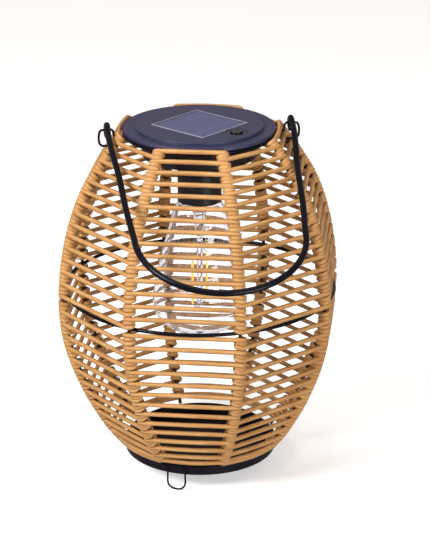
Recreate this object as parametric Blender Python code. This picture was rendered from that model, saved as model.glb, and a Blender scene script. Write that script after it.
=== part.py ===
"""Solar lantern: woven rattan cage on a wire frame, lift-out solar lamp, swinging bail handle.

Metres, +Z up. X is the handle's hinge axis, -Y is the side the handle rests against.
Origin: centre of the base tray's underside. Azimuths are measured from -Y towards +X.
"""
import bpy
import bmesh
import math
from mathutils import Matrix, Vector

for old in list(bpy.data.objects):
    bpy.data.objects.remove(old, do_unlink=True)

MM = 0.001
GAP = 0.35                       # air left between touching pieces, mm

# cage frame, mm
RIB_COUNT = 8
RIB_PITCH = 360 / RIB_COUNT
RIB_START = 8.4                  # azimuth of rib 1, degrees
RIB_R = 1.5                      # rib wire radius
RIB_OUTLINE = [(9.6, 62.8), (30, 78.4), (65, 97.2), (105, 111.0), (143, 114.6),
               (185, 110.2), (225, 98.4), (255, 81.2), (277.0, 65.0)]   # (height, radius)
RING_Z, RING_WIRE = 144.4, 1.5   # black hoop inside the widest part
TOP_RING_Z, TOP_RING_R, TOP_RING_WIRE = 276.3, 61.0, 1.5
LOW_RING_R, LOW_RING_WIRE = 59.2, 1.4
BASE_R, BASE_H, BASE_T, BASE_LIP, BASE_EDGE = 63.5, 7.6, 1.5, 57.5, 0.8
FOOT_AZ, FOOT_WIRE, FOOT_W, FOOT_LOW, FOOT_TOP = -25.3, 0.8, 15.0, -13.5, 5.6
FOOT_TURNS = (0, 140, 220)       # the three feet, degrees round from the first

# rattan weave, mm
STRAND_R = 1.9
ROW_TOP, ROW_PITCH_TOP, ROW_PITCH_GROW = 278.6, 7.12, 0.275
ROW_MID, ROW_PITCH_MID, ROW_PITCH_SHRINK = 140.5, 11.07, 0.188
FIRST_LOW_ROW, LAST_ROW = 16, 29     # the first row under the black hoop and the last of all
ROW_FLOOR = 10.4
TURN_OFF, TURN_BEND = 2.2, 2.0   # a strand's turn beside a rib: distance from it, and size of its corners

# handle, mm
PIVOT_Z, PIVOT_X = 281.0, 74.8
HANDLE_R = 2.5
HANDLE_LEG = [(14, 74.8), (36, 73.2), (59, 71.0), (98, 69.0)]    # (distance from the pivot, half width)
HANDLE_BOW, HANDLE_BOW_W, HANDLE_BOW_DEPTH = 130.5, 66.0, 60.5   # where the curved end starts, and its size
HANDLE_LEAN = 65.0               # resting angle from straight down, degrees
EYE_WIRE = 1.0
EYE_PATH = [(-10.8, -5.95), (-5.6, -5.95), (-3.9, 0), (4.2, 0), (6.2, -2.2), (6.8, -6.6), (6.2, -11.0),
            (4.2, -13.2), (-7.0, -13.2)]      # (out, up) from the pivot
HOOK_R = 4.0
HOOK_RETURN = 4.5

# lamp unit, mm
FLANGE_R, FLANGE_Z0, FLANGE_Z1 = 62.0, 278.2, 281.2
DISC_R, DISC_Z1, DISC_UNDER = 52.1, 283.2, 280.2
PANEL, PANEL_AZ, PANEL_POCKET = 55.0, -4.25, 1.4
BUTTON_AZ, BUTTON_DIST, BUTTON_R = 44.6, 37.4, 5.0
BEZEL_R, BEZEL_IN, BEZEL_POCKET = 8.4, 5.6, 1.6
CASE_R, CASE_Z0, CASE_T = 46.8, 257.5, 1.8
LID_SKIRT_R, LID_EDGE = 50.0, 0.6
WIRE_HOLE_R, WIRE_HOLE_DIST, WIRE_HOLE_AZ = 1.6, 20.0, 150.0
LEAD_HOLE_R = 4.0                # hole in the case floor for the bulb's leads
SWITCH_STEM = 3.2                # how far the button reaches under the lid
SWITCH_TRAVEL = 1.5
SWITCH_BODY = (8, 8, 4)
BOARD_SIZE, BOARD_SHIFT = (36, 24, 1.6), 0.6     # its middle lies part of the way to the button
CELL_R, CELL_HALF, CELL_DIST = 5.2, 22.0, 14.0
CELL_TIP_R, CELL_TIP = 2.0, 1.2
CONTACT = (0.6, 8, 9)
SCREW_DIST, SCREW_AZ, SCREW_R, SCREW_HEAD, SCREW_EDGE = 34.0, 60.0, 2.6, 1.6, 0.6
SOCKET_R, SOCKET_Z0, SOCKET_T, SOCKET_COLLAR = 18.0, 218.5, 1.6, 5.0
GLASS_T = 1.0
BULB = [(243, 15.9), (218.2, 15.9), (217.2, 18.0), (206, 22.9), (193, 26.2), (181, 29.5),
        (165, 33.4), (148, 37.0), (138, 38.7), (130, 39.3)]   # (height, radius) to the widest
BULB_LOW_Z, BULB_LOW_R, BULB_LOW_H = 130.0, 39.3, 27.0       # shallow round bottom
STEM_LOW = 127.0
STEM = [(0, STEM_LOW), (2.2, STEM_LOW), (2.4, 186), (4.5, 198), (6.5, 212), (13.5, 226), (13.5, 228), (0, 228)]
FILAMENT_LEN, FILAMENT_DIST, FILAMENT_TOP, FILAMENT_AZ = 37.5, 11.5, 169.0, -39.0
FILAMENT_W, FILAMENT_T = 1.5, 1.2
LEAD_R, LEAD_OFF = 0.35, 0.3     # wires that hold the filaments: their size and their distance past the gap


def material(name, color, metallic=0.0, rough=0.5, alpha=1.0):
    mat = bpy.data.materials.new(name)
    mat.use_nodes = True
    bsdf = mat.node_tree.nodes["Principled BSDF"]
    bsdf.inputs["Base Color"].default_value = (*color, 1.0)
    bsdf.inputs["Metallic"].default_value = metallic
    bsdf.inputs["Roughness"].default_value = rough
    bsdf.inputs["Alpha"].default_value = alpha
    mat.diffuse_color = (*color, alpha)
    return mat


LOOKS = {
    "rattan": ((0.72, 0.44, 0.18), 0.0, 0.55),
    "wire": ((0.012, 0.011, 0.016), 0.6, 0.38),
    "tray": ((0.014, 0.013, 0.018), 0.6, 0.42),
    "shell": ((0.055, 0.055, 0.085), 0.0, 0.42),
    "cell": ((0.10, 0.10, 0.22), 0.2, 0.25),
    "clear": ((0.92, 0.94, 0.95), 0.0, 0.05),
    "gold": ((0.95, 0.55, 0.12), 0.0, 0.5),
    "steel": ((0.62, 0.62, 0.64), 1.0, 0.3),
    "board": ((0.03, 0.20, 0.08), 0.0, 0.5),
    "cellwrap": ((0.05, 0.22, 0.30), 0.0, 0.35),
}


def finish(name, mesh, look, origin=(0, 0, 0), parent=None):
    obj = bpy.data.objects.new(name, mesh)
    bpy.context.scene.collection.objects.link(obj)
    shift = Vector(origin) * MM
    mesh.transform(Matrix.Scale(MM, 4))
    mesh.transform(Matrix.Translation(-shift))
    obj.location = shift
    color, metal, rough = LOOKS[look]
    alpha = 0.25 if look == "clear" else 1.0
    mesh.materials.append(material(name, color, metal, rough, alpha))
    if parent is not None:
        obj.parent = parent
        obj.location = shift - parent.location
    return obj


def mesh_from(name, verts, faces):
    mesh = bpy.data.meshes.new(name)
    mesh.from_pydata([tuple(v) for v in verts], [], faces)
    bm = bmesh.new()
    bm.from_mesh(mesh)
    bmesh.ops.recalc_face_normals(bm, faces=bm.faces)
    bm.to_mesh(mesh)
    bm.free()
    return mesh


def polar(radius, azimuth, z=0.0):
    a = math.radians(azimuth)
    return Vector((radius * math.sin(a), -radius * math.cos(a), z))


def turned(profile, segments, centre=(0, 0), closed=False):
    """Revolve (radius, height) stations: a closed loop, or a line from axis to axis."""
    verts = []
    faces = []
    rows = []
    for radius, height in profile:
        if radius < 1e-6:
            rows.append([len(verts)])
            verts.append((centre[0], centre[1], height))
            continue
        start = len(verts)
        for i in range(segments):
            a = 2 * math.pi * i / segments
            verts.append((centre[0] + radius * math.cos(a), centre[1] + radius * math.sin(a), height))
        rows.append(list(range(start, start + segments)))
    pairs = list(zip(rows, rows[1:]))
    if closed:
        pairs.append((rows[-1], rows[0]))
    for low, high in pairs:
        if len(low) == 1 and len(high) == 1:
            continue
        for i in range(segments):
            j = (i + 1) % segments
            if len(low) == 1:
                faces.append((low[0], high[i], high[j]))
            elif len(high) == 1:
                faces.append((low[i], low[j], high[0]))
            else:
                faces.append((low[i], low[j], high[j], high[i]))
    return mesh_from("turned", verts, faces)


def torus(radius, wire, z, segments, sides=8):
    profile = []
    for i in range(sides):
        a = 2 * math.pi * (i + 0.5) / sides
        profile.append((radius + wire * math.cos(a), z + wire * math.sin(a)))
    return turned(profile, segments, closed=True)


def tube(points, radius, sides, up=Vector((0, 0, 1))):
    """Sweep a round section along points, keeping the section from twisting."""
    points = [Vector(p) for p in points]
    count = len(points)
    verts = []
    faces = []
    normal = None
    for i, point in enumerate(points):
        before = points[i - 1] if i > 0 else point
        after = points[i + 1] if i < count - 1 else point
        d_in = (point - before).normalized() if (point - before).length > 0 else None
        d_out = (after - point).normalized() if (after - point).length > 0 else None
        d_in = d_in or d_out
        d_out = d_out or d_in
        tangent = (d_in + d_out).normalized()
        stretch = 1 / max(0.75, tangent.dot(d_in))
        if normal is None:
            normal = up - tangent * up.dot(tangent)
            if normal.length < 0.2:
                normal = Vector((0, 1, 0)) - tangent * tangent.y
        normal = (normal - tangent * normal.dot(tangent)).normalized()
        side = tangent.cross(normal)
        bend = d_out - d_in
        bend = bend.normalized() if bend.length > 1e-6 else None
        for k in range(sides):
            a = 2 * math.pi * (k + 0.5) / sides
            offset = normal * math.cos(a) * radius + side * math.sin(a) * radius
            if bend is not None:
                offset += bend * offset.dot(bend) * (stretch - 1)
            verts.append(point + offset)
    for i in range(count - 1):
        for k in range(sides):
            m = (k + 1) % sides
            faces.append((i * sides + k, i * sides + m, (i + 1) * sides + m, (i + 1) * sides + k))
    faces.append(tuple(range(sides)))
    faces.append(tuple(reversed(range((count - 1) * sides, count * sides))))
    return mesh_from("tube", verts, faces)


def block(centre, size, azimuth=0.0):
    turn = Matrix.Rotation(math.radians(azimuth), 4, "Z")
    verts = []
    for x in (-0.5, 0.5):
        for y in (-0.5, 0.5):
            for z in (-0.5, 0.5):
                verts.append(Vector(centre) + turn @ Vector((x * size[0], y * size[1], z * size[2])))
    faces = [(0, 1, 3, 2), (4, 6, 7, 5), (0, 4, 5, 1), (2, 3, 7, 6), (0, 2, 6, 4), (1, 5, 7, 3)]
    return mesh_from("block", verts, faces)


def cut(mesh, cutters):
    """Subtract the cutters from the mesh and keep only the result."""
    scene = bpy.context.scene.collection
    body = bpy.data.objects.new("cut_body", mesh)
    scene.objects.link(body)
    tools = []
    for number, cutter in enumerate(cutters):
        tool = bpy.data.objects.new("cut_tool", cutter)
        tool.hide_render = True
        tool.display_type = "WIRE"
        scene.objects.link(tool)
        tools.append(tool)
        step = body.modifiers.new("cut_%d" % number, "BOOLEAN")
        step.operation = "DIFFERENCE"
        step.solver = "EXACT"
        step.object = tool
    bpy.context.view_layer.update()
    result = bpy.data.meshes.new_from_object(body.evaluated_get(bpy.context.evaluated_depsgraph_get()))
    for used in tools + [body]:
        bpy.data.objects.remove(used, do_unlink=True)
    return result


def marker(name, location):
    empty = bpy.data.objects.new(name, None)
    empty.empty_display_size = 0.02
    empty.location = Vector(location) * MM
    bpy.context.scene.collection.objects.link(empty)
    return empty


def smooth_curve(stations, value):
    """Catmull-Rom value of the second column at a value of the first."""
    value = min(max(value, stations[0][0]), stations[-1][0])
    k = 0
    while k < len(stations) - 2 and value > stations[k + 1][0]:
        k += 1
    slopes = []
    for i in (k, k + 1):
        low = stations[max(i - 1, 0)]
        high = stations[min(i + 1, len(stations) - 1)]
        slopes.append((high[1] - low[1]) / (high[0] - low[0]))
    (x0, y0), (x1, y1) = stations[k], stations[k + 1]
    span = x1 - x0
    t = (value - x0) / span
    a = 2 * t ** 3 - 3 * t ** 2 + 1
    b = t ** 3 - 2 * t ** 2 + t
    c = 3 * t ** 2 - 2 * t ** 3
    d = t ** 3 - t ** 2
    return a * y0 + b * span * slopes[0] + c * y1 + d * span * slopes[1]


def rib_radius(z):
    return smooth_curve(RIB_OUTLINE, z)


def strand_radius(z):
    """Distance from the axis of a strand that lies outside a rib, square to the rib's slope."""
    slope = (rib_radius(z + 2) - rib_radius(z - 2)) / 4
    return rib_radius(z) + (RIB_R + GAP + STRAND_R) * math.sqrt(1 + slope ** 2)


def row_height(level):
    """Height of a weave row, counted from the top; half levels are the rows of every second panel."""
    if level < FIRST_LOW_ROW:
        n = level - 1
        return ROW_TOP - ROW_PITCH_TOP * n - ROW_PITCH_GROW * n * (n - 1) / 2
    n = level - FIRST_LOW_ROW
    return max(ROW_FLOOR, ROW_MID - ROW_PITCH_MID * n + ROW_PITCH_SHRINK * n * (n - 1) / 2)


# ---------------------------------------------------------------- cage frame
tray_profile = [(0, 0), (BASE_R - BASE_EDGE, 0), (BASE_R, BASE_EDGE), (BASE_R, BASE_H), (BASE_LIP, BASE_H),
                (BASE_LIP, BASE_H - BASE_T), (BASE_R - BASE_T, BASE_H - BASE_T),
                (BASE_R - BASE_T, BASE_T), (0, BASE_T)]
finish("base_tray", turned(tray_profile, 36), "tray")
low_ring_z = BASE_H + GAP + LOW_RING_WIRE
finish("bottom_ring", torus(LOW_RING_R, LOW_RING_WIRE, low_ring_z, 36, 6), "wire")
hoop_r = rib_radius(RING_Z) - RIB_R - GAP - RING_WIRE
finish("middle_ring", torus(hoop_r, RING_WIRE, RING_Z, 56, 6), "wire")
finish("top_ring", torus(TOP_RING_R, TOP_RING_WIRE, TOP_RING_Z, 36, 6), "wire")

rib_low, rib_high = RIB_OUTLINE[0][0], RIB_OUTLINE[-1][0]
for number in range(RIB_COUNT):
    azimuth = RIB_START + number * RIB_PITCH
    path = []
    for step in range(11):
        z = rib_low + (rib_high - rib_low) * step / 10
        path.append(polar(rib_radius(z), azimuth, z))
    across = polar(1, azimuth + 90)
    finish("rib_%d" % (number + 1), tube(path, RIB_R, 6, up=across), "wire")

foot_r = BASE_R + GAP + 0.1 + FOOT_WIRE
for number, foot_turn in enumerate(FOOT_TURNS):
    azimuth = FOOT_AZ + foot_turn
    out = polar(1, azimuth)
    along = polar(1, azimuth + 90)
    half = FOOT_W / 2
    path = []
    for u, z in [(-half, FOOT_TOP), (-half, 0), (-half, FOOT_LOW + 6), (-half + 1.8, FOOT_LOW + 2.6),
                 (-half + 5, FOOT_LOW + FOOT_WIRE), (half - 5, FOOT_LOW + FOOT_WIRE),
                 (half - 1.8, FOOT_LOW + 2.6), (half, FOOT_LOW + 6), (half, 0), (half, FOOT_TOP)]:
        path.append(out * foot_r + along * u + Vector((0, 0, z)))
    finish("foot_%d" % (number + 1), tube(path, FOOT_WIRE, 6, up=out), "wire")

for name, side in (("handle_eye_left", -1), ("handle_eye_right", 1)):
    path = [(side * (PIVOT_X + x), 0, PIVOT_Z + z) for x, z in EYE_PATH]
    finish(name, tube(path, EYE_WIRE, 8, up=Vector((0, 1, 0))), "wire")

# ---------------------------------------------------------------- rattan weave
def panel_point(panel, right, inset, z):
    """Centre of a strand at a height, at the left or right rib of a panel, inset along the panel."""
    azimuth = RIB_START - RIB_PITCH + (panel + right) * RIB_PITCH
    side = -1 if right else 1
    return polar(strand_radius(z), azimuth, z) + polar(side * inset, azimuth + 90)


def panel_strand(panel, first, last):
    """One strand that goes to and fro between two ribs, row by row."""
    path = []
    for row in range(first, last + 1):
        z = row_height(row + 0.5 * (panel % 2))
        start = (row - first) % 2
        for right, reaches_turn in ((start, row > first), (1 - start, row < last)):
            bend = TURN_BEND if reaches_turn else 0
            row_end = panel_point(panel, right, TURN_OFF + bend, z)
            turn = panel_point(panel, right, TURN_OFF, z + (bend if right == start else -bend))
            if not reaches_turn:
                path.append(row_end)
            elif right == start:
                path.extend((turn, row_end))
            else:
                path.extend((row_end, turn))
    return path


for panel in range(RIB_COUNT):
    for half, first, last in (("upper", 1, FIRST_LOW_ROW - 1), ("lower", FIRST_LOW_ROW, LAST_ROW)):
        strand = tube(panel_strand(panel, first, last), STRAND_R, 6)
        finish("rattan_%s_%d" % (half, panel + 1), strand, "rattan")

# ---------------------------------------------------------------- handle
lean = math.radians(HANDLE_LEAN)
down = Vector((0, -math.sin(lean), -math.cos(lean)))
back = Vector((0, math.cos(lean), -math.sin(lean)))
pivot = Vector((0, 0, PIVOT_Z))
half_path = [down * HOOK_RETURN + back * HOOK_R * 2, back * HOOK_R * 2]
for step in (1, 2, 3):
    a = math.pi * step / 4
    half_path.append(back * HOOK_R * (1 + math.cos(a)) - down * HOOK_R * math.sin(a))
half_path.append(Vector((0, 0, 0)))
half_path = [p - back * HOOK_R + Vector((PIVOT_X, 0, 0)) for p in half_path]
for along, width in HANDLE_LEG:
    half_path.append(down * along - back * HOOK_R + Vector((width, 0, 0)))
for step in range(9):
    a = math.pi / 2 * step / 8
    reach = HANDLE_BOW + HANDLE_BOW_DEPTH * math.sin(a)
    half_path.append(down * reach - back * HOOK_R + Vector((HANDLE_BOW_W * math.cos(a), 0, 0)))
other = [Vector((-p.x, p.y, p.z)) for p in reversed(half_path[:-1])]
handle_path = [pivot + p for p in half_path + other]
finish("handle", tube(handle_path, HANDLE_R, 8, up=Vector((1, 0, 0))), "wire", origin=pivot)

# ---------------------------------------------------------------- lamp unit
lamp = marker("lamp_lift_axis", (0, 0, FLANGE_Z0))
lid_profile = [(0, DISC_UNDER), (LID_SKIRT_R, DISC_UNDER), (LID_SKIRT_R, FLANGE_Z0), (FLANGE_R, FLANGE_Z0),
               (FLANGE_R, FLANGE_Z1 - LID_EDGE), (FLANGE_R - LID_EDGE, FLANGE_Z1), (DISC_R, FLANGE_Z1),
               (DISC_R, DISC_Z1 - LID_EDGE), (DISC_R - LID_EDGE, DISC_Z1), (0, DISC_Z1)]
button_at = polar(BUTTON_DIST, BUTTON_AZ)
panel_turn = PANEL_AZ + 45
pocket = block((0, 0, DISC_Z1 - PANEL_POCKET + 5), (PANEL + 0.8, PANEL + 0.8, 10), panel_turn)
bezel_pocket = turned([(0, DISC_Z1 - BEZEL_POCKET), (BEZEL_R + GAP, DISC_Z1 - BEZEL_POCKET),
                       (BEZEL_R + GAP, DISC_Z1 + 5), (0, DISC_Z1 + 5)], 24, button_at.xy)
button_hole = turned([(0, DISC_UNDER - 5), (BUTTON_R + 0.5, DISC_UNDER - 5),
                      (BUTTON_R + 0.5, DISC_Z1 + 5), (0, DISC_Z1 + 5)], 24, button_at.xy)
wire_hole = turned([(0, DISC_UNDER - 5), (WIRE_HOLE_R, DISC_UNDER - 5), (WIRE_HOLE_R, DISC_Z1 + 5),
                    (0, DISC_Z1 + 5)], 12, polar(WIRE_HOLE_DIST, WIRE_HOLE_AZ).xy)
finish("lid_cover", cut(turned(lid_profile, 48), [pocket, bezel_pocket, button_hole, wire_hole]),
       "shell", parent=lamp)
cell_z = DISC_Z1 - PANEL_POCKET + GAP
finish("solar_cell", block((0, 0, cell_z + 0.25), (PANEL - 1, PANEL - 1, 0.5), panel_turn), "cell", parent=lamp)
finish("solar_glass", block((0, 0, cell_z + 1.1), (PANEL, PANEL, 0.5), panel_turn), "clear", parent=lamp)
bezel = [(BEZEL_IN, DISC_Z1 - BEZEL_POCKET + GAP), (BEZEL_R, DISC_Z1 - BEZEL_POCKET + GAP),
         (BEZEL_R, DISC_Z1 - 0.7), (BEZEL_R - 1.6, DISC_Z1 - 0.2), (BEZEL_IN, DISC_Z1 - 0.6)]
finish("switch_bezel", turned(bezel, 24, button_at.xy, closed=True), "shell", parent=lamp)
stem_z = DISC_UNDER - SWITCH_STEM
button = [(0, stem_z), (BUTTON_R - 0.6, stem_z), (BUTTON_R, stem_z + 0.6),
          (BUTTON_R, DISC_Z1 + 0.8), (BUTTON_R - 0.8, DISC_Z1 + 1.6), (0, DISC_Z1 + 1.9)]
finish("switch_button", turned(button, 24, button_at.xy), "shell", origin=button_at + Vector((0, 0, DISC_Z1)))
switch_top = stem_z - SWITCH_TRAVEL - GAP
switch_at = button_at + Vector((0, 0, switch_top - SWITCH_BODY[2] / 2))
finish("switch_body", block(switch_at, SWITCH_BODY, BUTTON_AZ), "steel", parent=lamp)

board_z = switch_top - SWITCH_BODY[2] - GAP - BOARD_SIZE[2] / 2
board_at = button_at * BOARD_SHIFT + Vector((0, 0, board_z))
finish("circuit_board", block(board_at, BOARD_SIZE, BUTTON_AZ), "board", parent=lamp)
case_top = DISC_UNDER - GAP
case = [(0, CASE_Z0), (CASE_R - 1, CASE_Z0), (CASE_R, CASE_Z0 + 1), (CASE_R, case_top),
        (CASE_R - CASE_T, case_top), (CASE_R - CASE_T, CASE_Z0 + CASE_T), (0, CASE_Z0 + CASE_T)]
lead_hole = turned([(0, CASE_Z0 - 5), (LEAD_HOLE_R, CASE_Z0 - 5), (LEAD_HOLE_R, CASE_Z0 + 5),
                    (0, CASE_Z0 + 5)], 16)
finish("battery_case", cut(turned(case, 32), [lead_hole]), "shell", parent=lamp)
cell_at = polar(CELL_DIST, BUTTON_AZ + 180, CASE_Z0 + CASE_T + GAP + CELL_R)
cell_turn = Matrix.Rotation(math.radians(BUTTON_AZ), 4, "Z") @ Matrix.Rotation(math.pi / 2, 4, "Y")
cell_top = CELL_HALF - CELL_TIP
battery = turned([(0, -CELL_HALF), (CELL_R, -CELL_HALF), (CELL_R, cell_top), (CELL_TIP_R, cell_top),
                  (CELL_TIP_R, CELL_HALF), (0, CELL_HALF)], 16)
battery.transform(Matrix.Translation(cell_at) @ cell_turn)
finish("battery", battery, "cellwrap", parent=lamp)
for name, side in (("battery_contact_1", -1), ("battery_contact_2", 1)):
    spot = cell_at + polar(side * (CELL_HALF + 2 * GAP + CONTACT[0] / 2), BUTTON_AZ + 90)
    finish(name, block(spot, CONTACT, BUTTON_AZ), "steel", parent=lamp)

socket_top = CASE_Z0 - GAP
socket = [(SOCKET_R - SOCKET_T, SOCKET_Z0), (SOCKET_R - 0.5, SOCKET_Z0), (SOCKET_R, SOCKET_Z0 + 0.5),
          (SOCKET_R, socket_top - 4), (SOCKET_R + SOCKET_COLLAR, socket_top - 1.5),
          (SOCKET_R + SOCKET_COLLAR, socket_top),
          (SOCKET_R - SOCKET_T, socket_top)]
finish("lamp_socket", turned(socket, 24, closed=True), "shell", parent=lamp)

outer = [(r, z) for z, r in BULB]
for step in range(1, 7):
    a = math.pi / 2 * step / 7
    outer.append((BULB_LOW_R * math.cos(a), BULB_LOW_Z - BULB_LOW_H * math.sin(a)))
outside = outer + [(0, BULB_LOW_Z - BULB_LOW_H)]
inside = [(0, BULB_LOW_Z - BULB_LOW_H + GLASS_T)] + [(r - GLASS_T, z) for r, z in reversed(outer)]
finish("bulb_glass", turned(outside + inside, 24, closed=True), "clear", parent=lamp)
finish("filament_stem", turned(STEM, 12), "clear", parent=lamp)
low_z = FILAMENT_TOP - FILAMENT_LEN
for number, turn in ((1, 0), (2, 180)):
    azimuth = FILAMENT_AZ + turn
    spot = polar(FILAMENT_DIST, azimuth, low_z + FILAMENT_LEN / 2)
    rod = block(spot, (FILAMENT_W, FILAMENT_T, FILAMENT_LEN), azimuth)
    finish("filament_%d" % number, rod, "gold", parent=lamp)
    arm = [polar(2.4 + GAP + 0.5, azimuth, FILAMENT_TOP + 6), polar(6, azimuth, FILAMENT_TOP + 5),
           polar(FILAMENT_DIST, azimuth, FILAMENT_TOP + GAP + LEAD_OFF)]
    finish("filament_arm_%d" % number, tube(arm, LEAD_R, 6, up=polar(1, azimuth + 90)), "steel", parent=lamp)
link_z, bend_z = low_z - GAP - LEAD_OFF, STEM_LOW - 1.2
low_arm = [polar(FILAMENT_DIST, FILAMENT_AZ, link_z), polar(4, FILAMENT_AZ, bend_z),
           polar(4, FILAMENT_AZ + 180, bend_z), polar(FILAMENT_DIST, FILAMENT_AZ + 180, link_z)]
finish("filament_bridge", tube(low_arm, LEAD_R, 6, up=polar(1, FILAMENT_AZ + 90)), "steel", parent=lamp)
screw_top = CASE_Z0 - GAP
for number in range(3):
    spot = polar(SCREW_DIST, SCREW_AZ + number * 120)
    head = [(0, screw_top - SCREW_HEAD), (SCREW_R - SCREW_EDGE, screw_top - SCREW_HEAD),
            (SCREW_R, screw_top - SCREW_HEAD + SCREW_EDGE), (SCREW_R, screw_top), (0, screw_top)]
    finish("case_screw_%d" % (number + 1), turned(head, 10, spot.xy), "steel", parent=lamp)
marker("handle_swing_axis", (0, 0, PIVOT_Z))
marker("switch_press_axis", button_at + Vector((0, 0, DISC_Z1)))
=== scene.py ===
"""Looks of the solar lantern: wound rattan on a black wire cage, moulded lid with a solar cell,
clear filament bulb and a bail handle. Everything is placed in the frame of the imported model.
"""
import bmesh
import bpy
import math
import random
from mathutils import Matrix, Vector


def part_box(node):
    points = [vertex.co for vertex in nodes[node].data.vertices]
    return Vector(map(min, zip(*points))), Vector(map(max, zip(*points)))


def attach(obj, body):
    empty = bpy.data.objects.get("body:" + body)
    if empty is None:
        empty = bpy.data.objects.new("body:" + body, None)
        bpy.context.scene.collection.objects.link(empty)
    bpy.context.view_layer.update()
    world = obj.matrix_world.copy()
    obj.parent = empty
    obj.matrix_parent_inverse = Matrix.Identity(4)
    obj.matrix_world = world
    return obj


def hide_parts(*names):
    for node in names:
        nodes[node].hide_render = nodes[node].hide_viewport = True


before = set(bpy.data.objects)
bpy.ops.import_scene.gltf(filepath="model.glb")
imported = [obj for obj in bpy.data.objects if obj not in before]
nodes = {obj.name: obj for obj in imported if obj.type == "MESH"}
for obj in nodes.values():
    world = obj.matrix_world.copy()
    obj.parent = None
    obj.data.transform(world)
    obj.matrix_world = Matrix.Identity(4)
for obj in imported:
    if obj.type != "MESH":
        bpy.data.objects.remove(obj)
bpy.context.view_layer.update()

MM = 0.001

# Sizes below are millimetres, as in the part's own source.
GAP = 0.35                            # air between pieces that touch
RIB_COUNT = 8
RIB_PITCH = 360 / RIB_COUNT
RIB_START = 8.4
RIB_R = 1.5
RING_WIRE, LOW_RING_WIRE = 1.5, 1.4
RIB_OUTLINE = [(9.6, 62.8), (30, 78.4), (65, 97.2), (105, 111.0), (143, 114.6),
               (185, 110.2), (225, 98.4), (255, 81.2), (277.0, 65.0)]   # (height, radius)

FIRST_LOW_ROW, LAST_ROW = 16, 29      # the first row under the black hoop and the last of all
ROW_TOP, ROW_PITCH_TOP, ROW_PITCH_GROW = 278.6, 7.12, 0.275
ROW_MID, ROW_PITCH_MID, ROW_PITCH_SHRINK = 140.5, 11.07, 0.188
ROW_FLOOR = 10.4
STRAND_R = 1.9
STRAND_SIDES = 8
COIL_R = RIB_R + STRAND_R + 0.05      # strand centre to rib centre
COIL_FLOOR = 13.2                     # lowest middle of a coil, just above the tray's rim
COIL_PASS = 2.9                       # closest spacing of the passes round a rib
TURN_STEPS = 12
SPAN_STOPS = (0.15, 0.32, 0.5, 0.68, 0.85)      # where a span between two ribs is shaped
# How far the first row bulges, panel by panel; the first value is set to clear the lid.
TOP_BOW = (1.0, 0.8, 1.8, 2.6, 3.6, 2.6, 1.8, 0.8)
LOW_BOW = {LAST_ROW: 3.6, LAST_ROW - 1: 2.4, LAST_ROW - 2: 1.5, LAST_ROW - 3: 0.8}     # and the last rows

HANDLE_R, HANDLE_LEAN = 2.5, 65.0
HANDLE_LEG = [(14, 74.8), (36, 73.2), (59, 71.0), (98, 69.0)]    # (distance from the pivot, half width)
HANDLE_BOW, HANDLE_BOW_W, HANDLE_BOW_DEPTH = 130.5, 66.0, 60.5   # where the curved end starts, and its size
HOOK_R, HOOK_RETURN = 4.0, 4.5
PIVOT_X, PIVOT_Z = 74.8, 281.0
EYE_WIRE = 1.0
EYE_PATH = [(-10.8, -5.95), (-5.6, -5.95), (-3.9, 0), (4.2, 0), (6.2, -2.2), (6.8, -6.6), (6.2, -11.0),
            (4.2, -13.2), (-7.0, -13.2)]      # (out, up) from the pivot

FLANGE_R, FLANGE_Z0, FLANGE_Z1, LID_RECESS_R = 62.0, 278.2, 281.2, 50
DISC_R, DISC_Z1, DISC_UNDER = 52.1, 283.2, 280.2
PANEL, PANEL_TURN, PANEL_POCKET = 55.0, -4.25 + 45, 1.4
FINGER_SCALE, BAR_SCALE, CRYSTAL_SCALE = 105.0, 11.4, 160.0      # of the pattern on the cell
BUTTON_AZ, BUTTON_DIST, BUTTON_R = 44.6, 37.4, 5.0
BEZEL_R, BEZEL_IN, BEZEL_POCKET = 8.4, 5.6, 1.6
CASE_R, CASE_Z0, CASE_T, CASE_HOLE_R = 46.8, 257.5, 1.8, 4.0
SEAM_Z, SEAM_DEPTH = CASE_Z0 + 15.0, 0.5     # groove where the case opens
SOCKET_R, SOCKET_Z0, SOCKET_T, SOCKET_COLLAR = 18.0, 218.5, 1.6, 5.0
GROOVES, GROOVE_FIRST, GROOVE_PITCH, GROOVE_DEPTH = 3, 7, 8.5, 0.5
GLASS_T = 1.0
BULB = [(243, 15.9), (218.2, 15.9), (217.2, 18.0), (206, 22.9), (193, 26.2), (181, 29.5),
        (165, 33.4), (148, 37.0), (138, 38.7), (130, 39.3)]   # (height, radius) to the widest
BULB_LOW_Z, BULB_LOW_R, BULB_LOW_H = 130.0, 39.3, 27.0
STEM_LOW = 127.0
LEAD_R = 0.35                         # wires that carry the filaments
FILAMENT_LEN, FILAMENT_DIST, FILAMENT_TOP, FILAMENT_AZ, FILAMENT_R = 37.5, 11.5, 169.0, -39.0, 0.95
BASE_R, BASE_H, BASE_T, BASE_LIP = 63.5, 7.6, 1.5, 57.5
FOOT_AZ, FOOT_WIRE, FOOT_W, FOOT_LOW, FOOT_TOP = -25.3, 0.8, 15.0, -13.5, 5.6
FOOT_TURNS = (0, 140, 220)
FOOT_GAP = 0.45                       # air between a loop and the base

chance = random.Random(11)


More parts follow.
